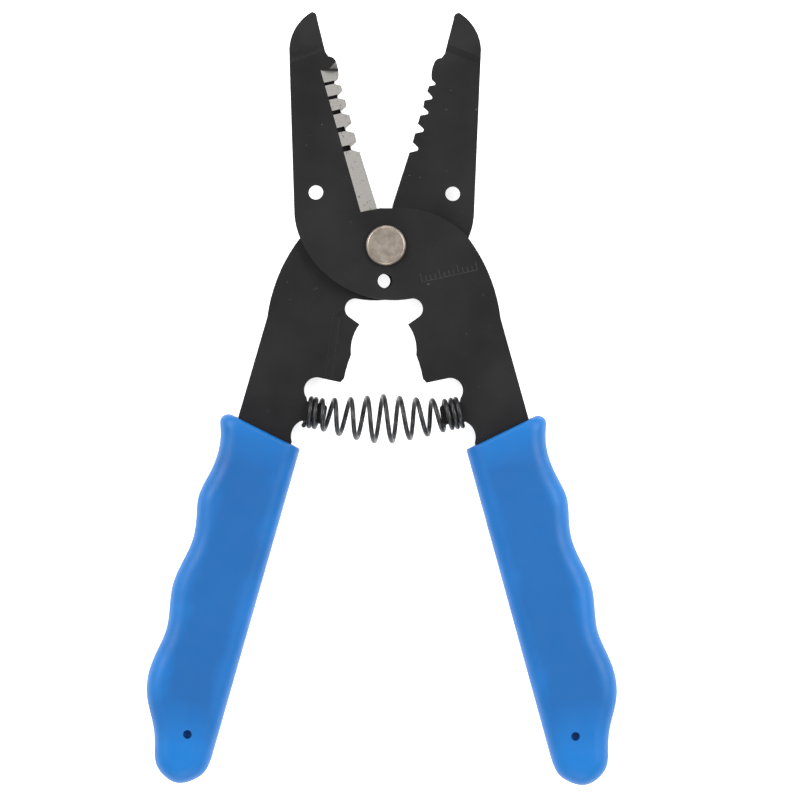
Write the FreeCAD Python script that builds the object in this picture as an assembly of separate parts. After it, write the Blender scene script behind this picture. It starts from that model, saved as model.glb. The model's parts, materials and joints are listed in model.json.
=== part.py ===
import FreeCAD, Part
import math
import os

from FreeCAD import Placement, Rotation, Vector

# Wire stripper with two crossing pressed-steel levers, a pivot rivet, a barrel
# return spring and two moulded grips. All lengths in millimetres, angles in degrees.
# The shapes are drawn round the pivot: X to the right, Y towards the jaws, Z towards
# the front, with the two levers meeting at Z = 0.

# Levers
PLATE = 2.5                 # sheet thickness
RUNNING_GAP = 0.06          # between the two levers
HANDLE_ANGLE = 15.65        # handle against the centre line, tool at rest
FOLD_RUN = 1.6              # length of the slope into each offset pad
LOOP_HOLE = (-14.9, 11.5)
SHEAR_HOLE = (0.25, -7.65)
SMALL_HOLE_RADIUS = 1.6

# Stripping and cutting edge, with its ground bevel
EDGE_TOP = (-10.15, 36.5)
EDGE_FOOT = (-1.85, 9.05)
BEVEL_TOP = (-13.09, 34.83)     # two points on the outer border of the bevel
BEVEL_FOOT = (-5.65, 9.05)
BEVEL_SLOPE = 0.62
BEVEL_END = ((-5.65, 7.15), (-1.65, 7.95))      # the grinding stops above this line
BEVEL_REACH = 38.0              # highest Y the grinding comes to
CORNER_REACH = 38.35            # lowest Y of the facet on the corner of the nose
CORNER_FACET = ((-12.0, 38.4), (-10.75, 39.9))
RELIEF_FLOOR = 0.7              # height of the relief grooves above the mating face
RELIEF_RISE = 0.2               # the grooves sit this far above the notch corners

# Pivot rivet and washer
SHANK_RADIUS = 3.0
PIVOT_FIT = 0.05            # radial clearance of the levers and washer on the shank
FACE_FIT = 0.03
HEAD_RADIUS = 4.35
HEAD_HEIGHT = 1.1
HEAD_CHAMFER = 0.4
HEAD_OFFSET = 0.4           # the peened head sits a little to one side of the shank
WASHER_RADIUS = 4.8
WASHER_THICKNESS = 0.8
SPUN_RADIUS = 4.0
SPUN_HEIGHT = 0.9
SPUN_CHAMFER = 0.45

# Return spring
WIRE_RADIUS = 0.51
BOW_RADIUS = 91.5           # the centre line hangs in a shallow arc
BOW_LOWEST = -37.75
TURNS_EACH_SIDE = 6.5       # from the middle of the spring to either end
FREE_PITCH = 3.72
CLOSED_PITCH = 1.12
PITCH_RAMP = (2.4, 5.0)     # turns from the middle over which the pitch closes up
END_COIL_RADIUS = 3.06      # mean radius on the lugs
MIDDLE_COIL_RADIUS = 5.03
BARREL_TURNS = 3.9          # turns from the middle over which the barrel narrows
BARREL_CROWN = 0.25         # turns over which its middle is rounded off
POINTS_PER_TURN = 20

# Spring lugs, one on each lever
LUG_BASE = (17.5, -36.06)
LUG_TIP = (12.5, -36.86)
LUG_HALF_HEIGHT = 2.2
LUG_ROUND_RADIUS = 2.33     # long edges of the lug are rounded to this radius
LUG_ROUND_START = 0.45      # distance from the lug's base where the rounding begins

# Grips
GRIP_THICKNESS = 12.6
GRIP_ROUNDING = 3.8
GRIP_MOUTH_ROUNDING = 1.2
GRIP_INNER = 5.5
TANG_FIT = 0.12
TANG_INNER = 7.65
TANG_OUTER = 20.6
TANG_END = 117.3
LOCATING_HOLE = (113.6, 11.8)
LOCATING_HOLE_RADIUS = 0.95
LOCATING_HOLE_DEPTH = 1.8   # blind, on both faces of the grip

PLATE_BASE = RUNNING_GAP / 2
PLATE_TOP = PLATE_BASE + PLATE
PAD_DROP = PLATE_BASE + PLATE / 2
FAR = 200.0


def flat(point, height=0.0):
    return Vector(point[0], point[1], height)


def on_handle(along, across):
    """Point at a distance along the right handle from the pivot, and across it."""
    tilt = math.radians(HANDLE_ANGLE)
    return (
        along * math.sin(tilt) + across * math.cos(tilt),
        -along * math.cos(tilt) + across * math.sin(tilt),
    )


def outline(start, steps):
    """Closed face from steps: one point is a line, two an arc, more a smooth curve."""
    edges = []
    here = start
    for step in steps:
        stops = [flat(point) for point in [here] + list(step)]
        if len(stops) == 2:
            edges.append(Part.LineSegment(*stops).toShape())
        elif len(stops) == 3:
            edges.append(Part.Arc(*stops).toShape())
        else:
            curve = Part.BSplineCurve()
            curve.interpolate(stops)
            edges.append(curve.toShape())
        here = step[-1]
    return Part.Face(Part.Wire(edges))


def rounded(before, corner, after, radius):
    """Steps that round off a corner: a line to the round, then the arc itself."""
    middle = flat(corner)
    back = (flat(before) - middle).normalize()
    onward = (flat(after) - middle).normalize()
    half = back.getAngle(onward) / 2
    setback = radius / math.tan(half)
    bisector = (back + onward).normalize()
    first = middle + back * setback
    deepest = middle + bisector * (radius / math.sin(half) - radius)
    last = middle + onward * setback
    return [[(first.x, first.y)], [(deepest.x, deepest.y), (last.x, last.y)]]


def slab(face, low, high):
    solid = face.extrude(Vector(0, 0, high - low))
    solid.translate(Vector(0, 0, low))
    return solid


def cylinder(centre, radius, low, high):
    return Part.makeCylinder(radius, high - low, flat(centre, low))


def ridge(first, second, profile):
    """Long prism along the line first-second.

    Each profile point is a distance to the left of the line and a height.
    """
    along = (flat(second) - flat(first)).normalize()
    left = Vector(-along.y, along.x, 0)
    start = flat(first) - along * FAR
    corners = [start + left * across + Vector(0, 0, height) for across, height in profile]
    return Part.Face(Part.makePolygon(corners + corners[:1])).extrude(along * (2 * FAR))


def half_space(first, second):
    """Everything to the left of the line first-second."""
    return ridge(first, second, [(0, -FAR), (FAR, -FAR), (FAR, FAR), (0, FAR)])


def fold_recess(first, second):
    """Room above the sheet where it steps down to the left of a fold line."""
    floor = PLATE_TOP - PAD_DROP
    lid = PLATE_TOP + 1
    return ridge(first, second, [
        (0, PLATE_TOP), (FOLD_RUN, floor), (FAR, floor), (FAR, lid), (0, lid),
    ])


def fold_boss(first, second):
    """Material below the sheet where it steps down to the left of a fold line."""
    base = PLATE_BASE - PAD_DROP
    inside = PLATE_BASE + PLATE / 2
    return ridge(first, second, [
        (0, PLATE_BASE), (FOLD_RUN, base), (FAR, base), (FAR, inside), (0, inside),
    ])


# Stripping notches of the left jaw: tooth above, corner, heel below, corner radius,
# width of the relief groove behind the notch.
NOTCHES = (
    ((-10.2, 36.3), (-11.45, 35.25), (-9.6, 34.9), 0.35, 0.65),
    ((-9.2, 33.8), (-10.75, 32.15), (-8.6, 31.8), 0.42, 0.75),
    ((-8.35, 30.3), (-10.1, 28.9), (-7.7, 28.5), 0.46, 0.9),
    ((-7.2, 26.7), (-9.1, 25.1), (-6.6, 24.6), 0.5, 1.05),
    ((-6.1, 22.65), (-7.9, 21.0), (-5.4, 20.4), 0.55, 1.2),
)

# Fold lines, with the offset pad to the left of each.
NOSE_FOLD = ((-20.0, 39.85), (-13.4, 42.5))
DIE_FOLD_TOP = ((11.1, -14.9), (8.3, -13.5))
DIE_FOLD_SIDE = ((12.7, -28.0), (11.1, -14.9))
DIE_ZONE = ((4.0, -31.5), (14.5, -12.0))


def lever_face():
    """Outline of the lever with the left jaw and the right handle."""
    steps = [[(-18.4, 48.9), (-20.9, 42.8)], [(-19.55, 6.6)], [(-19.1, 3.9), (-18.3, 1.6)]]
    # Lower edge of the hub, then the round window above the crimping die.
    steps += [[(-9.3, -8.75), (6.2, -11.45)], [(8.5, -13.7), (7.3, -15.7)]]
    # Crimping die: two shallow nests between three teeth.
    steps += [[(5.3, -17.1)], [(7.0, -21.0), (7.1, -23.7)], [(7.9, -26.0), (8.6, -28.9)]]
    steps += [[(9.4, -29.8)], [(14.2, -28.75)], [(17.2, -30.7), (16.8, -33.1)], [(16.65, -33.9)]]
    # Spring lug.
    lug_axis = (flat(LUG_TIP) - flat(LUG_BASE)).normalize()
    lug_up = Vector(lug_axis.y, -lug_axis.x, 0) * LUG_HALF_HEIGHT
    tip_top = flat(LUG_TIP) + lug_up
    tip_low = flat(LUG_TIP) - lug_up
    base_top = flat(LUG_BASE) + lug_up
    base_low = flat(LUG_BASE) - lug_up
    steps += rounded(base_top, tip_top, tip_low, 0.9)
    steps += rounded(tip_top, tip_low, base_low, 0.9)
    steps += [[(base_low.x, base_low.y)]]
    # Handle: inner edge, tang end inside the grip, outer edge.
    handle_start = on_handle(46.6, TANG_INNER)
    steps += [[(19.3, -39.3), handle_start]]
    inner_end = on_handle(TANG_END, TANG_INNER)
    outer_end = on_handle(TANG_END, 15.0)
    outer_shoulder = on_handle(104.0, TANG_OUTER)
    outer_start = on_handle(22.0, TANG_OUTER - 0.35)
    steps += rounded(handle_start, inner_end, outer_end, 2.0)
    steps += rounded(inner_end, outer_end, outer_shoulder, 3.0)
    steps += rounded(outer_end, outer_shoulder, outer_start, 12.0)
    steps += [[outer_start]]
    # Shoulder and upper edge of the hub, then the cutting blade.
    steps += [[(22.55, -5.4), (18.1, 2.0)], [(11.3, 6.65), (1.7, 8.1)], [(-1.65, 8.1)]]
    steps += [[EDGE_FOOT]]
    for tooth, corner, heel, radius, relief in reversed(NOTCHES):
        steps += [[heel]] + rounded(heel, corner, tooth, radius) + [[tooth]]
    # Nose.
    steps += [[EDGE_TOP], [(-10.2, 38.4), (-10.6, 39.7)], [(-11.3, 40.75), (-12.3, 41.05)]]
    steps += [[(-13.0, 42.0)], [(-14.9, 49.6)], [(-15.3, 50.55), (-16.1, 50.8)]]
    start = (-16.1, 50.8)
    return outline(start, steps)


def ground_facet(first, second, slope, end):
    """Wedge ground off the outer face to the right of a line, on the left of its end."""
    deep = 6.0
    rise = 1.0
    wedge = ridge(first, second, [
        (-deep, PLATE_TOP - slope * deep),
        (rise / slope, PLATE_TOP + rise),
        (-deep, PLATE_TOP + rise),
    ])
    return wedge.common(half_space(*end))


def bevel():
    """The long facet behind the stripping and cutting edges."""
    facet = ground_facet(BEVEL_FOOT, BEVEL_TOP, BEVEL_SLOPE, BEVEL_END)
    return facet.common(half_space((0, BEVEL_REACH), (-1, BEVEL_REACH)))


def corner_facet():
    return ground_facet(*CORNER_FACET, 1.0, ((0, CORNER_REACH), (1, CORNER_REACH)))


def relief_groove(corner, width):
    """Slot running square to the bevel from a notch to the outer border."""
    border = (flat(BEVEL_TOP) - flat(BEVEL_FOOT)).normalize()
    outward = Vector(-border.y, border.x, 0)
    overlap = 0.5
    length = overlap + (flat(BEVEL_FOOT) - flat(corner)).dot(outward)
    groove = Part.makeBox(length, width, PLATE)
    groove.translate(Vector(-overlap, -width / 2, PLATE_BASE + RELIEF_FLOOR))
    turn = Rotation(Vector(0, 0, 1), math.degrees(math.atan2(outward.y, outward.x)))
    middle = flat(corner) + border * RELIEF_RISE
    groove.Placement = Placement(middle, turn).multiply(groove.Placement)
    return groove


def lug_rounding():
    """Corners of the lug that would foul the end coils of the spring."""
    base, tip = flat(LUG_BASE), flat(LUG_TIP)
    axis = (tip - base).normalize()
    half = LUG_HALF_HEIGHT + 0.4
    start = base + axis * LUG_ROUND_START
    length = (tip - base).Length + 1
    block = Part.makeBox(length, 2 * half, 2 * half, Vector(0, -half, -half))
    turn = math.degrees(math.atan2(axis.y, axis.x))
    middle = Vector(start.x, start.y, PLATE_BASE + PLATE / 2)
    block.Placement = Placement(middle, Rotation(Vector(0, 0, 1), turn))
    core = Part.makeCylinder(LUG_ROUND_RADIUS, length, middle, axis)
    return block.cut(core)


def make_front_lever():
    face = lever_face()
    die_low, die_high = DIE_ZONE
    die_zone = Part.makeBox(
        die_high[0] - die_low[0], die_high[1] - die_low[1], 2 * PLATE,
        flat(die_low, -PLATE),
    )
    plate = slab(face, PLATE_BASE, PLATE_TOP)
    plate = plate.cut(fold_recess(*NOSE_FOLD))
    die_recess = fold_recess(*DIE_FOLD_TOP).common(fold_recess(*DIE_FOLD_SIDE))
    plate = plate.cut(die_recess.common(die_zone.copy()))
    below = slab(face, PLATE_BASE - PAD_DROP, PLATE_BASE + PLATE / 2)
    nose = below.common(fold_boss(*NOSE_FOLD))
    die_boss = fold_boss(*DIE_FOLD_TOP).common(fold_boss(*DIE_FOLD_SIDE)).common(die_zone)
    die = below.common(die_boss)
    lever = plate.fuse([nose, die]).removeSplitter()
    cuts = [
        bevel(),
        corner_facet(),
        lug_rounding(),
        cylinder((0, 0), SHANK_RADIUS + PIVOT_FIT, -FAR, FAR),
        cylinder(LOOP_HOLE, SMALL_HOLE_RADIUS, -FAR, FAR),
        cylinder(SHEAR_HOLE, SMALL_HOLE_RADIUS, -FAR, FAR),
    ]
    cuts += [relief_groove(notch[1], notch[4]) for notch in NOTCHES]
    for cut in cuts:
        lever = lever.cut(cut)
    return lever


def make_pivot_rivet():
    head_base = PLATE_TOP + FACE_FIT
    tail_base = -(PLATE_TOP + 2 * FACE_FIT + WASHER_THICKNESS + FACE_FIT)
    head = cylinder((HEAD_OFFSET, 0), HEAD_RADIUS, head_base, head_base + HEAD_HEIGHT)
    head = head.makeChamfer(HEAD_CHAMFER, [head.Edges[0]])
    spun = cylinder((0, 0), SPUN_RADIUS, tail_base - SPUN_HEIGHT, tail_base)
    spun = spun.makeChamfer(SPUN_CHAMFER, [spun.Edges[2]])
    shank = cylinder((0, 0), SHANK_RADIUS, tail_base - SPUN_HEIGHT / 2, head_base + HEAD_HEIGHT / 2)
    return head.fuse([shank, spun]).removeSplitter()


def make_washer():
    top = -(PLATE_TOP + FACE_FIT)
    low = top - WASHER_THICKNESS
    ring = cylinder((0, 0), WASHER_RADIUS, low, top)
    return ring.cut(cylinder((0, 0), SHANK_RADIUS + PIVOT_FIT, low - 1, top + 1))


def ramp(value, limits):
    """One before the first limit, zero after the second, a smooth fall between."""
    share = (abs(value) - limits[0]) / (limits[1] - limits[0])
    share = min(max(share, 0.0), 1.0)
    return (1 + math.cos(math.pi * share)) / 2


def barrel(turn):
    """Share of the swell: one at the middle of the spring, none on the end coils."""
    reach = math.hypot(min(abs(turn), BARREL_TURNS), BARREL_CROWN)
    furthest = math.hypot(BARREL_TURNS, BARREL_CROWN)
    return (furthest - reach) / (furthest - BARREL_CROWN)


def spring_points():
    """Points along the wire from the left lug to the right one."""
    steps = round(TURNS_EACH_SIDE * POINTS_PER_TURN)
    run = 0.0
    stations = [(0.0, 0.0)]
    for step in range(steps):
        middle = (step + 0.5) / POINTS_PER_TURN
        pitch = CLOSED_PITCH + (FREE_PITCH - CLOSED_PITCH) * ramp(middle, PITCH_RAMP)
        run += pitch / POINTS_PER_TURN
        stations.append(((step + 1) / POINTS_PER_TURN, run))
    stations = [(-turn, -run) for turn, run in reversed(stations[1:])] + stations
    lug_height = PLATE_BASE + PLATE / 2
    points = []
    for turn, run in stations:
        lean = run / BOW_RADIUS
        swell = (MIDDLE_COIL_RADIUS - END_COIL_RADIUS) * barrel(turn)
        radius = END_COIL_RADIUS + swell
        reach = BOW_RADIUS - radius * math.cos(2 * math.pi * turn)
        side = math.copysign(1 - ramp(run, (0.0, 13.0)), run) * lug_height
        points.append(Vector(
            reach * math.sin(lean),
            BOW_LOWEST + BOW_RADIUS - reach * math.cos(lean),
            side + radius * math.sin(2 * math.pi * turn),
        ))
    return points


def make_spring():
    points = spring_points()
    curve = Part.BSplineCurve()
    curve.interpolate(points)
    path = Part.Wire(curve.toShape())
    start = curve.StartPoint
    direction = curve.tangent(curve.FirstParameter)[0]
    section = Part.Wire(Part.Circle(start, direction, WIRE_RADIUS).toShape())
    return path.makePipeShell([section], True, True)


# Right grip, as distances along and across the handle: the rounded end and the
# three finger swells up to the flared lip, which runs on past the mouth.
GRIP_END_AND_SWELLS = (
    (121.0, 6.15), (122.9, 7.7), (124.7, 11.1), (123.9, 14.5), (122.0, 16.7),
    (118.9, 17.95), (116.2, 18.75), (113.2, 20.1), (110.4, 21.7), (107.0, 23.15),
    (102.8, 23.75), (98.2, 23.3), (93.4, 22.65), (88.2, 23.3),
    (83.5, 23.95), (78.2, 23.3), (73.0, 22.5), (68.0, 23.05),
    (63.4, 23.85), (58.2, 22.95), (53.2, 22.4), (49.4, 22.9),
    (46.4, 23.9), (43.0, 25.0),
)
GRIP_MOUTH = ((47.6, 5.5), (44.15, 23.95))


def grip_face():
    """Outline of the right grip, carried on past its mouth."""
    swells = [on_handle(*point) for point in GRIP_END_AND_SWELLS]
    start = on_handle(40.0, GRIP_INNER)
    return outline(start, [[on_handle(117.5, GRIP_INNER)], swells, [start]])


def tang_cavity():
    """Slot in the grip, the tang outline grown by its clearance."""
    grown = TANG_FIT
    inner = TANG_INNER - grown
    outer = TANG_OUTER + grown
    mouth_inner = on_handle(40.0, inner)
    inner_end = on_handle(TANG_END + grown, inner)
    outer_end = on_handle(TANG_END + grown, 15.0 + grown)
    shoulder = on_handle(104.0, outer)
    mouth_outer = on_handle(40.0, outer)
    steps = rounded(mouth_inner, inner_end, outer_end, 2.0)
    steps += rounded(inner_end, outer_end, shoulder, 3.0)
    steps += rounded(outer_end, shoulder, mouth_outer, 12.0)
    steps += [[mouth_outer], [mouth_inner]]
    face = outline(mouth_inner, steps)
    return slab(face, PLATE_BASE - grown, PLATE_TOP + grown)


def make_right_grip():
    half = GRIP_THICKNESS / 2
    body = slab(grip_face(), -half, half)
    beyond = flat(on_handle(41.0, GRIP_INNER)).y
    rims = [
        edge for edge in body.Edges
        if edge.BoundBox.ZLength < 0.01 and edge.BoundBox.YMin < beyond
        and edge.BoundBox.YLength > 5 and edge.Length > 30
    ]
    body = body.makeFillet(GRIP_ROUNDING, rims)
    inner, outer = [flat(on_handle(*point)) for point in GRIP_MOUTH]
    body = body.cut(half_space((inner.x, inner.y), (outer.x, outer.y)))
    slope = (outer - inner).normalize()
    square = Vector(-slope.y, slope.x, 0)
    mouth = [
        edge for edge in body.Edges
        if all(abs((vertex.Point - inner).dot(square)) < 0.01 for vertex in edge.Vertexes)
    ]
    body = body.makeFillet(GRIP_MOUTH_ROUNDING, mouth)
    body = body.cut(tang_cavity())
    place = on_handle(*LOCATING_HOLE)
    floor = half - LOCATING_HOLE_DEPTH
    for low, high in ((floor, FAR), (-FAR, -floor)):
        body = body.cut(cylinder(place, LOCATING_HOLE_RADIUS, low, high))
    return body


def flipped(shape):
    """The same part turned over about the centre line of the tool."""
    turned = shape.copy()
    turned.rotate(Vector(0, 0, 0), Vector(0, 1, 0), 180)
    return turned


def main():
    front_lever = make_front_lever()
    right_grip = make_right_grip()
    nodes = {
        "front_lever": front_lever,
        "rear_lever": flipped(front_lever),
        "pivot_rivet": make_pivot_rivet(),
        "rivet_washer": make_washer(),
        "return_spring": make_spring(),
        "right_grip": right_grip,
        "left_grip": flipped(right_grip),
    }
    # Rest the tool on its back with the origin under the middle of its outline.
    box = FreeCAD.BoundBox()
    for shape in nodes.values():
        box.add(shape.optimalBoundingBox(False))
    shift = Vector(-box.Center.x, -box.Center.y, -box.ZMin)
    os.makedirs("parts", exist_ok=True)
    for name, shape in nodes.items():
        shape.translate(shift)
        shape.exportStep("parts/" + name + ".step")
        print(name, shape.isValid(), len(shape.Solids), round(shape.Volume, 1))
    print("pivot", shift)


main()
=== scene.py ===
import json
import math

import bmesh
import bpy
import numpy as np
from mathutils import Matrix, Vector


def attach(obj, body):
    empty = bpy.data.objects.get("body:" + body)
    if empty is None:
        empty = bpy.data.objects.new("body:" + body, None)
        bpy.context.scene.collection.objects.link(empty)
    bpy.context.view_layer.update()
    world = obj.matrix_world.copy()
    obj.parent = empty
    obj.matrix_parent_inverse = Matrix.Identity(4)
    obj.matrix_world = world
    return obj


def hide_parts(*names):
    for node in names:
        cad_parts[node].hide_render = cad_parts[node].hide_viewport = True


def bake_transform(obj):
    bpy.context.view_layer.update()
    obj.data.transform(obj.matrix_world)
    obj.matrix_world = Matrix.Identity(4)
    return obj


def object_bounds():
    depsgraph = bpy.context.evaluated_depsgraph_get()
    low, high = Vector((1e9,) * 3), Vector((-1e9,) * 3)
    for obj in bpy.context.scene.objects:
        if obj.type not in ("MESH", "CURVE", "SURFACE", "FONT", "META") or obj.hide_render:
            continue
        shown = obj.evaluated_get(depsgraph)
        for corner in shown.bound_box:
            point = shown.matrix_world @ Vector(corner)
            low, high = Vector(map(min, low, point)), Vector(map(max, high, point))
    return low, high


# A wire stripper lying on its back, jaws towards +Y, seen from straight above.
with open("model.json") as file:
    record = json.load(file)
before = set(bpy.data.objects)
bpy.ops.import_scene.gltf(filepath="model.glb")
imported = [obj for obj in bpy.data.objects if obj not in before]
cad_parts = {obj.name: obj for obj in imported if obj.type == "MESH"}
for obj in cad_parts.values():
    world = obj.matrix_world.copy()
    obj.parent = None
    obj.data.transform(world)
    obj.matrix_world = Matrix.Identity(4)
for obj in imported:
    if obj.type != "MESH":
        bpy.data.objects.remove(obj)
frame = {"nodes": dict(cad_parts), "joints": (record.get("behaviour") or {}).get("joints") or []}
cad_low, cad_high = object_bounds()

MM = 0.001
joint = frame["joints"][0]
PIVOT = Vector(joint["pos_m"])          # on the plane where the two levers meet
HANDLE_ANGLE = math.radians(15.65)
HALF_THICKNESS = PIVOT.z / MM           # of the grips
TANG_BASE, TANG_TOP = 0.03, 2.53        # faces of the front lever above the meeting plane

# Plan of the right grip, millimetres along and across the handle from the pivot.
GRIP_INNER = 5.5
GRIP_CURVE = (
    (117.5, 5.5), (121.0, 6.15), (122.9, 7.7), (124.7, 11.1), (123.9, 14.5), (122.0, 16.7),
    (118.9, 17.95), (116.2, 18.75), (113.2, 20.1), (110.4, 21.7), (107.0, 23.15),
    (102.8, 23.75), (98.2, 23.3), (93.4, 22.65), (88.2, 23.3),
    (83.5, 23.95), (78.2, 23.3), (73.0, 22.5), (68.0, 23.05),
    (63.4, 23.85), (58.2, 22.95), (53.2, 22.4), (49.4, 22.9),
    (46.4, 23.9), (43.0, 25.0),
)
GRIP_MOUTH = ((47.6, 5.5), (44.15, 23.95))
RUN_ON = 40.0                           # the plan is carried on to here, past the mouth
GRIP_ROUNDING, MOUTH_ROUNDING = 3.8, 0.8
INNER_LIP, OUTER_LIP = (0.4, 0), (1.7, -1)      # radius, and which crossing of the mouth
LOCATING_HOLE = (113.6, 11.8)
LOCATING_HOLE_RADIUS, LOCATING_HOLE_DEPTH = 0.95, 1.8
TANG_SLOT = (
    (RUN_ON, 7.53), (115.5, 7.53), (117.42, 9.5), (117.42, 13.2), (114.5, 16.4),
    (104, 20.72), (RUN_ON, 20.72),
)
TANG_FIT = 0.12                         # between the slot and the faces of the tang

# How finely the grip is drawn.
PLAN_STEP = 0.1
RIM_STEPS, CORNER_POINTS, RUN_POINTS, HOLE_SIDES = 12, 8, 241, 32
SKIN = 0.02                             # the mesh lies this far inside the plan
MERGE_REACH = 0.002

# Where the grip's colour is painted darker over the tang, a painted shade for light lost in the
# plastic: along the handle, then across it.
PAINTED_SHADE_MIDDLE = (80.0, 14.1)
PAINTED_SHADE_FADE = ((26.0, 37.0), (4.5, 8.8))

# Spring: a barrel of wire whose centre line hangs in a shallow arc between the lugs.
WIRE_RADIUS = 0.51
BOW_RADIUS = 91.5
BOW_LOWEST = -37.75
TURNS_EACH_SIDE = 6.5
FREE_PITCH, CLOSED_PITCH = 3.72, 1.12
PITCH_RAMP = (2.4, 5.0)
END_COIL_RADIUS, MIDDLE_COIL_RADIUS = 3.06, 5.03
BARREL_TURNS, BARREL_CROWN = 3.9, 0.25
LUG_LEVEL = (TANG_BASE + TANG_TOP) / 2
LEVEL_RUN = 13.0                # from the middle to where the wire is level with its lug
STATIONS_PER_TURN, WIRE_SIDES = 40, 14

# Levers: the step into each nose, and what marks out the ground facets of the front one.
NOSE_STEP = 41.3
BEVEL_BAND, BEVEL_TILT, BEVEL_SIDE = (7.5, 38.3), (0.80, 0.90), -1.0
CORNER_BAND, CORNER_TILT, CORNER_SIDES = (38.2, 40.3), (0.66, 0.76), (-12.6, -9.8)
LEVER_EDGE, RIVET_EDGE = 0.16, 0.1      # widths of the broken edges

# Ruled scale on the hub.
SCALE_START, SCALE_STOP = (8.3, -7.9), (20.3, -5.2)
TICKS, LONG_EVERY = 13, 4
LONG_TICK, SHORT_TICK = 1.9, 1.1
TICK_WIDTH, TICK_HEIGHT = 0.14, 0.012
TICK_TAPER = 0.04                       # share by which a tick's top is drawn in


def place(x, y, z=0.0):
    """Millimetres from the pivot to a point in the frame."""
    return PIVOT + Vector((x, y, z)) * MM


def on_handle(along, across):
    sine, cosine = math.sin(HANDLE_ANGLE), math.cos(HANDLE_ANGLE)
    return along * sine + across * cosine, -along * cosine + across * sine


def to_object(name, mesh):
    data = bpy.data.meshes.new(name)
    mesh.to_mesh(data)
    mesh.free()
    obj = bpy.data.objects.new(name, data)
    bpy.context.scene.collection.objects.link(obj)
    return obj


# ---------------------------------------------------------------- materials

class Nodes:
    """Short calls for building a material's node tree."""

    def __init__(self, name):
        self.material = bpy.data.materials.new(name)
        self.material.use_nodes = True
        self.tree = self.material.node_tree
        self.shader = self.tree.nodes["Principled BSDF"]
        self.space = self.add("ShaderNodeTexCoord").outputs["Object"]

    def add(self, kind, **values):
        node = self.tree.nodes.new(kind)
        for key, value in values.items():
            setattr(node, key, value)
        return node

    def link(self, source, target):
        self.tree.links.new(source, target)

    def mapped(self, scale, turn=(0, 0, 0)):
        node = self.add("ShaderNodeMapping")
        node.inputs["Scale"].default_value = scale
        node.inputs["Rotation"].default_value = turn
        self.link(self.space, node.inputs["Vector"])
        return node.outputs["Vector"]

    def noise(self, scale, detail=3.0, rough=0.5, vector=None):
        node = self.add("ShaderNodeTexNoise")
        node.inputs["Scale"].default_value = scale
        node.inputs["Detail"].default_value = detail
        node.inputs["Roughness"].default_value = rough
        self.link(vector or self.space, node.inputs["Vector"])
        return node.outputs["Fac"]

    def ramp(self, value, stops):
        node = self.add("ShaderNodeValToRGB")
        elements = node.color_ramp.elements
        while len(elements) < len(stops):
            elements.new(0.5)
        for element, (position, colour) in zip(elements, stops):
            element.position = position
            element.color = (*colour, 1.0)
        self.link(value, node.inputs["Fac"])
        return node.outputs["Color"]

    def spread(self, value, low, high, start=0.3, stop=0.7):
        node = self.add("ShaderNodeMapRange")
        node.inputs["From Min"].default_value = start
        node.inputs["From Max"].default_value = stop
        node.inputs["To Min"].default_value = low
        node.inputs["To Max"].default_value = high
        self.link(value, node.inputs["Value"])
        return node.outputs["Result"]

    def blend(self, share, first, second):
        node = self.add("ShaderNodeMix", data_type="RGBA")
        self.link(share, node.inputs["Factor"])
        self.link(first, node.inputs["A"])
        self.link(second, node.inputs["B"])
        return node.outputs["Result"]

    def bump(self, height, strength, depth_mm, after=None):
        node = self.add("ShaderNodeBump")
        node.inputs["Strength"].default_value = strength
        node.inputs["Distance"].default_value = depth_mm * MM
        self.link(height, node.inputs["Height"])
        if after is not None:
            self.link(after, node.inputs["Normal"])
        return node.outputs["Normal"]

    def rubbed_nose(self, clouds):
        """Share of rubbing: rises over the step into the noses of the jaws."""
        split = self.add("ShaderNodeSeparateXYZ")
        self.link(self.space, split.inputs["Vector"])
        height = self.add("ShaderNodeMath", operation="ADD")
        self.link(split.outputs["Y"], height.inputs[0])
        self.link(self.spread(clouds, -MM, MM), height.inputs[1])
        step = PIVOT.y + NOSE_STEP * MM
        return self.spread(height.outputs["Value"], 0.0, 1.0, step - 2 * MM, step + 3 * MM)

    def along_handle(self, direction, middle, wander):
        """Distance either way from the middle, along a direction on the nearer handle."""
        split = self.add("ShaderNodeSeparateXYZ")
        self.link(self.space, split.inputs["Vector"])
        mirrored = self.add("ShaderNodeMath", operation="ABSOLUTE")
        self.link(split.outputs["X"], mirrored.inputs[0])
        total = wander
        offset = direction[1] * PIVOT.y + middle
        parts = (
            (mirrored.outputs["Value"], direction[0]),
            (split.outputs["Y"], direction[1]),
        )
        for source, share in parts:
            term = self.add("ShaderNodeMath", operation="MULTIPLY_ADD")
            term.inputs[1].default_value = share
            self.link(source, term.inputs[0])
            self.link(total, term.inputs[2])
            total = term.outputs["Value"]
        shifted = self.add("ShaderNodeMath", operation="SUBTRACT")
        shifted.inputs[1].default_value = offset
        self.link(total, shifted.inputs[0])
        either_way = self.add("ShaderNodeMath", operation="ABSOLUTE")
        self.link(shifted.outputs["Value"], either_way.inputs[0])
        return either_way.outputs["Value"]

    def finish(self, colour, rough, normal, metallic=0.0, specular=0.5):
        self.link(colour, self.shader.inputs["Base Color"])
        self.link(rough, self.shader.inputs["Roughness"])
        self.link(normal, self.shader.inputs["Normal"])
        self.shader.inputs["Metallic"].default_value = metallic
        self.shader.inputs["Specular IOR Level"].default_value = specular
        return self.material


def grey_on_nose(m, clouds):
    return m.ramp(clouds, [(0.3, (0.0085, 0.0085, 0.009)), (0.7, (0.0140, 0.0140, 0.0145))])


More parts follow.
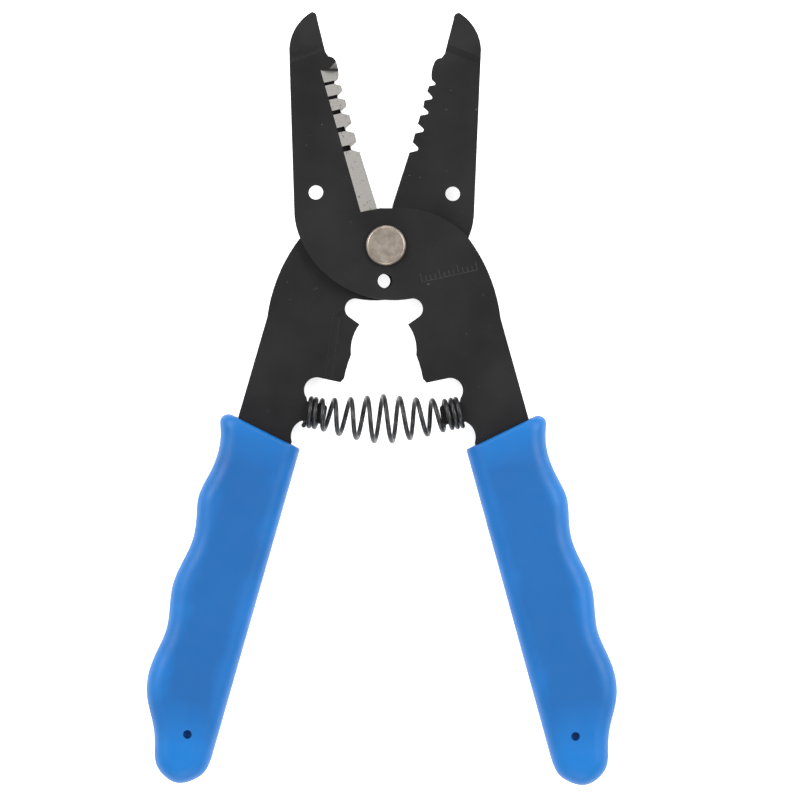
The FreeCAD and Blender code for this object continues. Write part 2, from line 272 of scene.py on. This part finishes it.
def black_steel(name, dark, light, specular):
    """Blackened sheet steel: slight clouding, faint rolling lines, a few rubbed spots."""
    m = Nodes(name)
    clouds = m.noise(70.0, 4.0, 0.55)
    base = m.ramp(clouds, [(0.35, dark), (0.7, light)])
    specks = m.noise(900.0, 2.0, 0.6)
    rubbed = m.ramp(specks, [(0.74, (0, 0, 0)), (0.8, (1, 1, 1))])
    grey = m.ramp(clouds, [(0.0, (0.075, 0.075, 0.078)), (1.0, (0.1, 0.1, 0.1))])
    colour = m.blend(rubbed, base, grey)
    colour = m.blend(m.rubbed_nose(clouds), colour, grey_on_nose(m, clouds))
    lines = m.noise(1.0, 3.0, 0.6, m.mapped((260.0, 5200.0, 260.0), (0, 0, 0.2)))
    rough = m.spread(clouds, 0.44, 0.58)
    grain = m.bump(m.noise(5200.0, 2.0), 0.25, 0.02)
    return m.finish(colour, rough, m.bump(lines, 0.15, 0.02, grain), 0.0, specular)


def ground_steel(name, turn):
    """Bare steel ground across the bevel: fine parallel scratches, small stains."""
    m = Nodes(name)
    lines = m.noise(1.0, 4.0, 0.65, m.mapped((900.0, 9000.0, 900.0), (0, 0, turn)))
    tone = m.ramp(lines, [(0.3, (0.168, 0.160, 0.149)), (0.7, (0.240, 0.232, 0.219))])
    stains = m.noise(1250.0, 4.0, 0.65)
    share = m.ramp(stains, [(0.6, (0, 0, 0)), (0.67, (0.85, 0.85, 0.85))])
    dark = m.ramp(lines, [(0.0, (0.03, 0.028, 0.026)), (1.0, (0.10, 0.094, 0.088))])
    colour = m.blend(share, tone, dark)
    rough = m.spread(lines, 0.42, 0.62)
    return m.finish(colour, rough, m.bump(lines, 0.5, 0.03), 0.55, 0.5)


def worn_edge_and_highlight(name):
    """Broken edge of the blackened sheet, rubbed to a dull grey and drawn lighter as a painted
    edge highlight.
    """
    m = Nodes(name)
    patches = m.noise(420.0, 3.0, 0.6)
    # grey of wear, lightened to serve as a painted highlight along the broken edges
    colour = m.ramp(patches, [(0.35, (0.022, 0.022, 0.023)), (0.75, (0.095, 0.095, 0.095))])
    rough = m.spread(patches, 0.35, 0.5)
    return m.finish(colour, rough, m.bump(m.noise(3000.0), 0.3, 0.02), 0.2, 0.5)


def rivet_steel(name):
    """Dull nickel over a peened face: soft mottling and turning marks."""
    m = Nodes(name)
    mottle = m.noise(650.0, 4.0, 0.6)
    colour = m.ramp(mottle, [(0.25, (0.335, 0.283, 0.232)), (0.75, (0.40, 0.348, 0.298))])
    rough = m.spread(mottle, 0.30, 0.46)
    fine = m.bump(m.noise(5000.0, 3.0), 0.3, 0.02)
    return m.finish(colour, rough, m.bump(mottle, 0.35, 0.05, fine), 0.95, 0.5)


def spring_steel(name):
    """Oiled dark spring wire with drawing marks."""
    m = Nodes(name)
    streaks = m.noise(1100.0, 3.0, 0.6)
    colour = m.ramp(streaks, [(0.3, (0.02, 0.02, 0.021)), (0.75, (0.062, 0.062, 0.064))])
    rough = m.spread(streaks, 0.28, 0.42)
    return m.finish(colour, rough, m.bump(m.noise(4200.0), 0.25, 0.02), 0.75, 0.5)


def etched(name):
    """Shallow marks brushed into the black finish."""
    m = Nodes(name)
    patches = m.noise(1400.0, 3.0, 0.6)
    colour = m.ramp(patches, [(0.35, (0.016, 0.016, 0.017)), (0.65, (0.034, 0.034, 0.035))])
    rough = m.spread(patches, 0.45, 0.6)
    return m.finish(colour, rough, m.bump(m.noise(5000.0), 0.3, 0.02), 0.0, 0.3)


def blue_plastic(name):
    """Satin moulded plastic, colour painted deeper where the tang is underneath (painted shade)
    and clearer at the rims (painted light through the thin plastic).
    """
    m = Nodes(name)
    drift = m.noise(38.0, 2.0, 0.5)
    # painted shade: the blue drawn deeper over the tang, where light through the plastic is lost
    painted_shade_core = m.ramp(drift, [(0.3, (0.0035, 0.081, 0.268)), (0.7, (0.0045, 0.089, 0.29))])
    # painted light: the blue drawn clearer at the rims, where light passes through the thin
    # plastic
    painted_light_rim = m.ramp(drift, [(0.3, (0.0022, 0.122, 0.39)), (0.7, (0.003, 0.132, 0.415))])
    sine, cosine = math.sin(HANDLE_ANGLE), math.cos(HANDLE_ANGLE)
    cloud = m.spread(m.noise(95.0, 3.0), -1.4 * MM, 1.4 * MM)
    distances = (
        m.along_handle((sine, -cosine), PAINTED_SHADE_MIDDLE[0] * MM, cloud),
        m.along_handle((cosine, sine), PAINTED_SHADE_MIDDLE[1] * MM, cloud),
    )
    share = m.add("ShaderNodeMath", operation="MAXIMUM")
    for distance, (start, stop), socket in zip(distances, PAINTED_SHADE_FADE, share.inputs):
        m.link(m.spread(distance, 0.0, 1.0, start * MM, stop * MM), socket)
    # blends the painted shade over the tang into the painted light at the rims
    colour = m.blend(share.outputs["Value"], painted_shade_core, painted_light_rim)
    rough = m.spread(m.noise(300.0, 3.0), 0.42, 0.54)
    swirl = m.bump(m.noise(260.0, 2.0), 0.07, 0.06)
    grain = m.bump(m.noise(4600.0, 2.0), 0.35, 0.025, swirl)
    return m.finish(colour, rough, grain, 0.0, 0.3)


BLACK = black_steel("BlackSteel", (0.0056, 0.0053, 0.0057), (0.0100, 0.0094, 0.0103), 0.2)
# worn grey edges that also carry a painted edge highlight
WORN_AND_HIGHLIGHT = worn_edge_and_highlight("WornEdgeAndHighlight")
GROUND_FRONT = ground_steel("GroundSteelFront", -0.28)
GROUND_REAR = ground_steel("GroundSteelRear", 0.28)
RIVET = rivet_steel("RivetSteel")
SPRING = spring_steel("SpringSteel")
BLUE = blue_plastic("BluePlastic")
ETCHED = etched("EtchedMark")


# ---------------------------------------------------------------- CAD nodes that stay

def dress(node, materials):
    mesh = frame["nodes"][node].data
    mesh.materials.clear()
    for material in materials:
        mesh.materials.append(material)
    return frame["nodes"][node]


def soften(obj, width_mm, segments=2, edge_material=-1):
    """Joins the faces of a flat-sided CAD node and breaks its sharp edges."""
    weld = obj.modifiers.new("weld", "WELD")
    weld.merge_threshold = MERGE_REACH * MM
    planar = obj.modifiers.new("planar", "DECIMATE")
    planar.decimate_type = "DISSOLVE"
    planar.angle_limit = math.radians(0.6)
    planar.delimit = {"MATERIAL"}
    bevel = obj.modifiers.new("bevel", "BEVEL")
    bevel.width = width_mm * MM
    bevel.segments = segments
    bevel.limit_method = "ANGLE"
    bevel.angle_limit = math.radians(28)
    bevel.material = edge_material
    bevel.harden_normals = True


def within(value, limits):
    return limits[0] < value < limits[1]


def mark_bevels(obj, side):
    """Gives the ground facets their own material; side is -1 for the turned-over lever."""
    for face in obj.data.polygons:
        face.material_index = 0
        centre = (face.center - PIVOT) / MM
        x, y = centre.x * side, centre.y
        tilt = face.normal.z * side
        on_bevel = within(y, BEVEL_BAND) and within(tilt, BEVEL_TILT) and x < BEVEL_SIDE
        on_corner = (
            within(y, CORNER_BAND) and within(tilt, CORNER_TILT) and within(x, CORNER_SIDES)
        )
        if on_bevel or on_corner:
            face.material_index = 1


def scale_marks():
    """A plain row of long and short ticks on the face of the hub, with its base line."""
    start, stop = place(*SCALE_START, TANG_TOP), place(*SCALE_STOP, TANG_TOP)
    ahead = (stop - start).normalized()
    up = Vector((-ahead.y, ahead.x, 0))
    width, height = TICK_WIDTH * MM, TICK_HEIGHT * MM
    bars = [(start, stop)]
    for tick in range(TICKS):
        foot = start.lerp(stop, tick / (TICKS - 1))
        length = LONG_TICK if tick % LONG_EVERY == 0 else SHORT_TICK
        bars.append((foot, foot + up * length * MM))
    mesh = bmesh.new()
    for foot, head in bars:
        along = (head - foot).normalized() * width / 2
        across = Vector((-along.y, along.x, 0))
        middle, lift = (foot + head) / 2, Vector((0, 0, height))
        corners = [
            foot - along - across, head + along - across,
            head + along + across, foot - along + across,
        ]
        low = [mesh.verts.new(corner) for corner in corners]
        high = [mesh.verts.new(corner.lerp(middle, TICK_TAPER) + lift) for corner in corners]
        mesh.faces.new(low[::-1])
        mesh.faces.new(high)
        for i in range(4):
            j = (i + 1) % 4
            mesh.faces.new((low[i], low[j], high[j], high[i]))
    marks = to_object("scale_marks", mesh)
    marks.data.materials.append(ETCHED)
    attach(marks, "front_half")


front = dress("front_lever", [BLACK, GROUND_FRONT, WORN_AND_HIGHLIGHT])
mark_bevels(front, 1)
soften(front, LEVER_EDGE, 2, 2)
rear = dress("rear_lever", [BLACK, GROUND_REAR, WORN_AND_HIGHLIGHT])
mark_bevels(rear, -1)
soften(rear, LEVER_EDGE, 2, 2)
soften(dress("pivot_rivet", [RIVET]), RIVET_EDGE, 3)
soften(dress("rivet_washer", [RIVET]), RIVET_EDGE, 2)
scale_marks()


# ---------------------------------------------------------------- grips

def smooth_curve(points, step):
    """Natural cubic spline through the points, sampled about every step."""
    points = np.array(points, float)
    chords = np.linalg.norm(np.diff(points, axis=0), axis=1)
    knots = np.concatenate([[0.0], np.cumsum(chords)])
    count = len(points)
    system = np.eye(count)
    right = np.zeros((count, 2))
    for i in range(1, count - 1):
        left, ahead = chords[i - 1], chords[i]
        system[i, i - 1:i + 2] = left, 2 * (left + ahead), ahead
        right[i] = 6 * (
            (points[i + 1] - points[i]) / ahead - (points[i] - points[i - 1]) / left
        )
    bend = np.linalg.solve(system, right)
    samples = np.linspace(0, knots[-1], int(knots[-1] / step) + 1)
    index = np.clip(np.searchsorted(knots, samples, side="right") - 1, 0, count - 2)
    width = chords[index][:, None]
    a = (knots[index + 1] - samples)[:, None] / width
    b = 1 - a
    return (
        a * points[index] + b * points[index + 1]
        + ((a ** 3 - a) * bend[index] + (b ** 3 - b) * bend[index + 1]) * width ** 2 / 6
    )


def grip_plan():
    """Points close together round the plan of the grip, carried on past its mouth."""
    curve = smooth_curve(GRIP_CURVE, PLAN_STEP)
    straight = [(along, GRIP_INNER) for along in np.arange(RUN_ON, curve[0, 0], PLAN_STEP)]
    return np.vstack([straight, curve])


def inset(outline, amount):
    """The open run of outline points moved inwards along their own normals."""
    ahead = np.gradient(outline, axis=0)
    ahead /= np.linalg.norm(ahead, axis=1)[:, None]
    inward = np.stack([-ahead[:, 1], ahead[:, 0]], axis=1)
    return outline + inward * amount


def along_run(run, stations):
    """Points of a run at fractional indices."""
    index = np.arange(len(run))
    return np.stack([np.interp(stations, index, run[:, k]) for k in (0, 1)], axis=-1)


def mouth_corner(plan, inward, setback, radius, which):
    """Station where a corner's round leaves the run, and the points of the round."""
    near, far = np.array(GRIP_MOUTH)
    slope = (far - near) / np.linalg.norm(far - near)
    down = np.array([slope[1], -slope[0]])
    track = inset(plan, inward + radius)
    gap = (track - near) @ down - setback - radius
    index = np.nonzero(np.diff(np.sign(gap)))[0][which]
    station = index + gap[index] / (gap[index] - gap[index + 1])
    centre = along_run(track, station)
    leaving = along_run(inset(plan, inward), station) - centre
    start = math.atan2(leaving[1], leaving[0])
    turn = math.atan2(-down[1], -down[0]) - start
    turn = (turn + math.pi) % (2 * math.pi) - math.pi
    angles = start + turn * np.linspace(0, 1, CORNER_POINTS)[1:]
    return station, centre + radius * np.stack([np.cos(angles), np.sin(angles)], axis=1)


def level_outline(plan, inward, setback):
    """Outline of the grip at one height: down the inner side, round the end and back."""
    first, inner_round = mouth_corner(plan, inward, setback, *INNER_LIP)
    last, outer_round = mouth_corner(plan, inward, setback, *OUTER_LIP)
    tip = np.argmax(plan[:, 0])
    down = np.linspace(first, tip, RUN_POINTS)[:-1]
    back = np.linspace(tip, last, RUN_POINTS)[1:]
    run = along_run(inset(plan, inward), np.concatenate([down, back]))
    return np.vstack([inner_round[::-1], run, outer_round])


def prism(outline, low, high):
    """Object: a closed outline on the handle (along, across), between two heights."""
    mesh = bmesh.new()
    rings = []
    for z in (low, high):
        rings.append([mesh.verts.new(place(*on_handle(s, u), z)) for s, u in outline])
    mesh.faces.new(rings[0])
    mesh.faces.new(rings[1])
    for i in range(len(outline)):
        j = (i + 1) % len(outline)
        mesh.faces.new((rings[0][i], rings[0][j], rings[1][j], rings[1][i]))
    bmesh.ops.recalc_face_normals(mesh, faces=mesh.faces)
    return to_object("cutter", mesh)


def carve(obj, cutter):
    """Takes the cutter's shape out of the object for good."""
    modifier = obj.modifiers.new("carve", "BOOLEAN")
    modifier.operation = "DIFFERENCE"
    modifier.solver = "MANIFOLD"
    modifier.object = cutter
    apply_modifier(obj, modifier)
    bpy.data.objects.remove(cutter)


def apply_modifier(obj, modifier):
    graph = bpy.context.evaluated_depsgraph_get()
    result = bpy.data.meshes.new_from_object(obj.evaluated_get(graph))
    obj.modifiers.remove(modifier)
    obj.data = result


def rounded_body():
    """The grip without its slot: upper and lower rims and the rim of the mouth rounded."""
    plan = grip_plan()
    levels = []
    for step in range(RIM_STEPS + 1):
        angle = math.radians(90 * step / RIM_STEPS)
        height = HALF_THICKNESS - GRIP_ROUNDING * (1 - math.cos(angle))
        above = max(height - (HALF_THICKNESS - MOUTH_ROUNDING), 0.0)
        setback = MOUTH_ROUNDING - math.sqrt(max(MOUTH_ROUNDING ** 2 - above ** 2, 0.0))
        levels.append((height, GRIP_ROUNDING * (1 - math.sin(angle)) + SKIN, setback))
    levels += [(-height, inward, setback) for height, inward, setback in reversed(levels)]
    mesh = bmesh.new()
    rings = []
    for height, inward, setback in levels:
        ring = level_outline(plan, inward, setback)
        rings.append([mesh.verts.new(place(*on_handle(s, u), height)) for s, u in ring])
    count = len(rings[0])
    for upper, lower in zip(rings, rings[1:]):
        for i in range(count):
            j = (i + 1) % count
            mesh.faces.new((upper[i], upper[j], lower[j], lower[i]))
    for ring in (rings[0], rings[-1]):
        for i in range(count // 2 - 1):
            mesh.faces.new((ring[i], ring[i + 1], ring[-2 - i], ring[-1 - i]))
    bmesh.ops.recalc_face_normals(mesh, faces=mesh.faces)
    return to_object("grip_right_moulding", mesh)


def moulded_grip():
    """Right grip: rounded body with the tang's slot and the two locating holes."""
    grip = rounded_body()
    tall = HALF_THICKNESS + 1
    carve(grip, prism(TANG_SLOT, TANG_BASE - TANG_FIT, TANG_TOP + TANG_FIT))
    centre_s, centre_u = LOCATING_HOLE
    circle = [
        (
            centre_s + LOCATING_HOLE_RADIUS * math.cos(angle),
            centre_u + LOCATING_HOLE_RADIUS * math.sin(angle),
        )
        for angle in np.linspace(0, 2 * math.pi, HOLE_SIDES, endpoint=False)
    ]
    floor = HALF_THICKNESS - LOCATING_HOLE_DEPTH
    carve(grip, prism(circle, floor, tall))
    carve(grip, prism(circle, -tall, -floor))
    mesh = bmesh.new()
    mesh.from_mesh(grip.data)
    bmesh.ops.dissolve_degenerate(mesh, dist=MERGE_REACH * MM, edges=mesh.edges)
    mesh.to_mesh(grip.data)
    mesh.free()
    return grip


def finish_grip(grip, node, body):
    grip.data.materials.clear()
    grip.data.materials.append(BLUE)
    grip.data.shade_smooth()
    grip.data.set_sharp_from_angle(angle=math.radians(40))
    normals = grip.modifiers.new("normals", "WEIGHTED_NORMAL")
    normals.keep_sharp = True
    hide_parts(node)
    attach(grip, body)


right_grip = moulded_grip()
left_grip = right_grip.copy()
left_grip.data = right_grip.data.copy()
left_grip.name = "grip_left_moulding"
bpy.context.scene.collection.objects.link(left_grip)
turn_over = (
    Matrix.Translation(PIVOT) @ Matrix.Rotation(math.pi, 4, "Y") @ Matrix.Translation(-PIVOT)
)
left_grip.data.transform(turn_over)
finish_grip(right_grip, "right_grip", "front_half")
finish_grip(left_grip, "left_grip", "rear_half")


# ---------------------------------------------------------------- spring

def fall(value, limits):
    """One before the first limit, zero after the second, smooth between."""
    share = min(max((abs(value) - limits[0]) / (limits[1] - limits[0]), 0.0), 1.0)
    return (1 + math.cos(math.pi * share)) / 2


def wire_stations(per_turn):
    """(turn, run along the centre line, share of the travel) from lug to lug."""
    half = []
    run = travel = 0.0
    for step in range(int(TURNS_EACH_SIDE * per_turn)):
        open_share = fall((step + 0.5) / per_turn, PITCH_RAMP)
        run += (CLOSED_PITCH + (FREE_PITCH - CLOSED_PITCH) * open_share) / per_turn
        travel += open_share / per_turn
        half.append(((step + 1) / per_turn, run, travel))
    whole = [(-t, -r, -d) for t, r, d in reversed(half)] + [(0.0, 0.0, 0.0)] + half
    return [(t, r, 0.5 + 0.5 * d / travel) for t, r, d in whole]


def barrel(turn):
    """Share of the swell: one at the middle of the spring, none on the end coils."""
    reach = math.hypot(min(abs(turn), BARREL_TURNS), BARREL_CROWN)
    furthest = math.hypot(BARREL_TURNS, BARREL_CROWN)
    return (furthest - reach) / (furthest - BARREL_CROWN)


def wire_point(turn, run):
    swell = (MIDDLE_COIL_RADIUS - END_COIL_RADIUS) * barrel(turn)
    radius = END_COIL_RADIUS + swell
    lean = run / BOW_RADIUS
    reach = BOW_RADIUS - radius * math.cos(2 * math.pi * turn)
    side = math.copysign(1 - fall(run, (0.0, LEVEL_RUN)), run) * LUG_LEVEL
    return place(
        reach * math.sin(lean),
        BOW_LOWEST + BOW_RADIUS - reach * math.cos(lean),
        side + radius * math.sin(2 * math.pi * turn),
    )


def make_spring():
    stations = wire_stations(STATIONS_PER_TURN)
    centres = [wire_point(turn, run) for turn, run, share in stations]
    mesh = bmesh.new()
    rings = []
    previous = None
    for i, centre in enumerate(centres):
        ahead = (centres[min(i + 1, len(centres) - 1)] - centres[max(i - 1, 0)]).normalized()
        across = previous or ahead.orthogonal()
        across = (across - ahead * across.dot(ahead)).normalized()
        previous = across
        up = ahead.cross(across)
        ring = []
        for k in range(WIRE_SIDES):
            angle = 2 * math.pi * k / WIRE_SIDES
            offset = across * math.cos(angle) + up * math.sin(angle)
            ring.append(mesh.verts.new(centre + offset * WIRE_RADIUS * MM))
        rings.append(ring)
    for first, second in zip(rings, rings[1:]):
        for k in range(WIRE_SIDES):
            n = (k + 1) % WIRE_SIDES
            mesh.faces.new((first[k], first[n], second[n], second[k]))
    mesh.faces.new(rings[0])
    mesh.faces.new(rings[-1])
    bmesh.ops.recalc_face_normals(mesh, faces=mesh.faces)
    spring = to_object("return_spring_wire", mesh)
    spring.data.materials.append(SPRING)
    spring.data.shade_smooth()
    spring.data.set_sharp_from_angle(angle=math.radians(50))
    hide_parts("return_spring")
    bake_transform(spring)


make_spring()


# ---------------------------------------------------------------- floor, light, camera

FLOOR_SIZE, FLOOR_DROP = 4.0, 0.0002
SOFTBOXES = (                           # name, place, size and power
    ("softbox_left", (-0.75, 0.35, 0.75), 0.6, 9.0),
    ("softbox_right", (0.75, 0.25, 0.75), 0.6, 9.0),
    ("softbox_low", (0.0, -0.9, 0.6), 0.5, 4.0),
    ("softbox_high", (0.0, 0.9, 0.6), 0.5, 3.0),
)
PICTURE_WIDTH = 0.1744                  # of the frame, at the level of the levers
PICTURE_MIDDLE = (3.63, -33.57)         # millimetres from the pivot
ROLL = math.radians(0.3)


def make_floor():
    level = cad_low.z - FLOOR_DROP
    bpy.ops.mesh.primitive_plane_add(size=FLOOR_SIZE, location=(0, 0, level))
    floor = bpy.context.object
    floor.name = "floor"
    m = Nodes("PaleFloor")
    tone = m.ramp(m.noise(3.0), [(0.3, (0.93, 0.93, 0.93)), (0.7, (0.95, 0.95, 0.95))])
    m.link(tone, m.shader.inputs["Base Color"])
    m.link(tone, m.shader.inputs["Emission Color"])
    m.shader.inputs["Emission Strength"].default_value = 0.75
    m.shader.inputs["Roughness"].default_value = 0.9
    m.shader.inputs["Specular IOR Level"].default_value = 0.0
    floor.data.materials.append(m.material)


def add_softbox(name, location, size, power):
    light = bpy.data.lights.new(name, "AREA")
    light.shape = "SQUARE"
    light.size = size
    light.energy = power
    obj = bpy.data.objects.new(name, light)
    obj.location = location
    obj.rotation_euler = (-Vector(location)).to_track_quat("-Z", "Y").to_euler()
    bpy.context.scene.collection.objects.link(obj)


make_floor()
world = bpy.data.worlds.new("Studio")
world.use_nodes = True
world.node_tree.nodes["Background"].inputs["Color"].default_value = (1.0, 1.0, 1.0, 1.0)
world.node_tree.nodes["Background"].inputs["Strength"].default_value = 0.55
bpy.context.scene.world = world
for softbox in SOFTBOXES:
    add_softbox(*softbox)
bpy.context.scene.view_settings.view_transform = "Standard"

camera_data = bpy.data.cameras.new("camera")
camera_data.lens = 180.0
camera_data.sensor_width = 36.0
camera = bpy.data.objects.new("camera", camera_data)
distance = PICTURE_WIDTH * camera_data.lens / camera_data.sensor_width
aim = place(*PICTURE_MIDDLE)
camera.location = aim + Vector((0, 0, distance))
camera.rotation_euler = (0, 0, ROLL)
camera_data.clip_end = 10.0
bpy.context.scene.collection.objects.link(camera)
bpy.context.scene.camera = camera
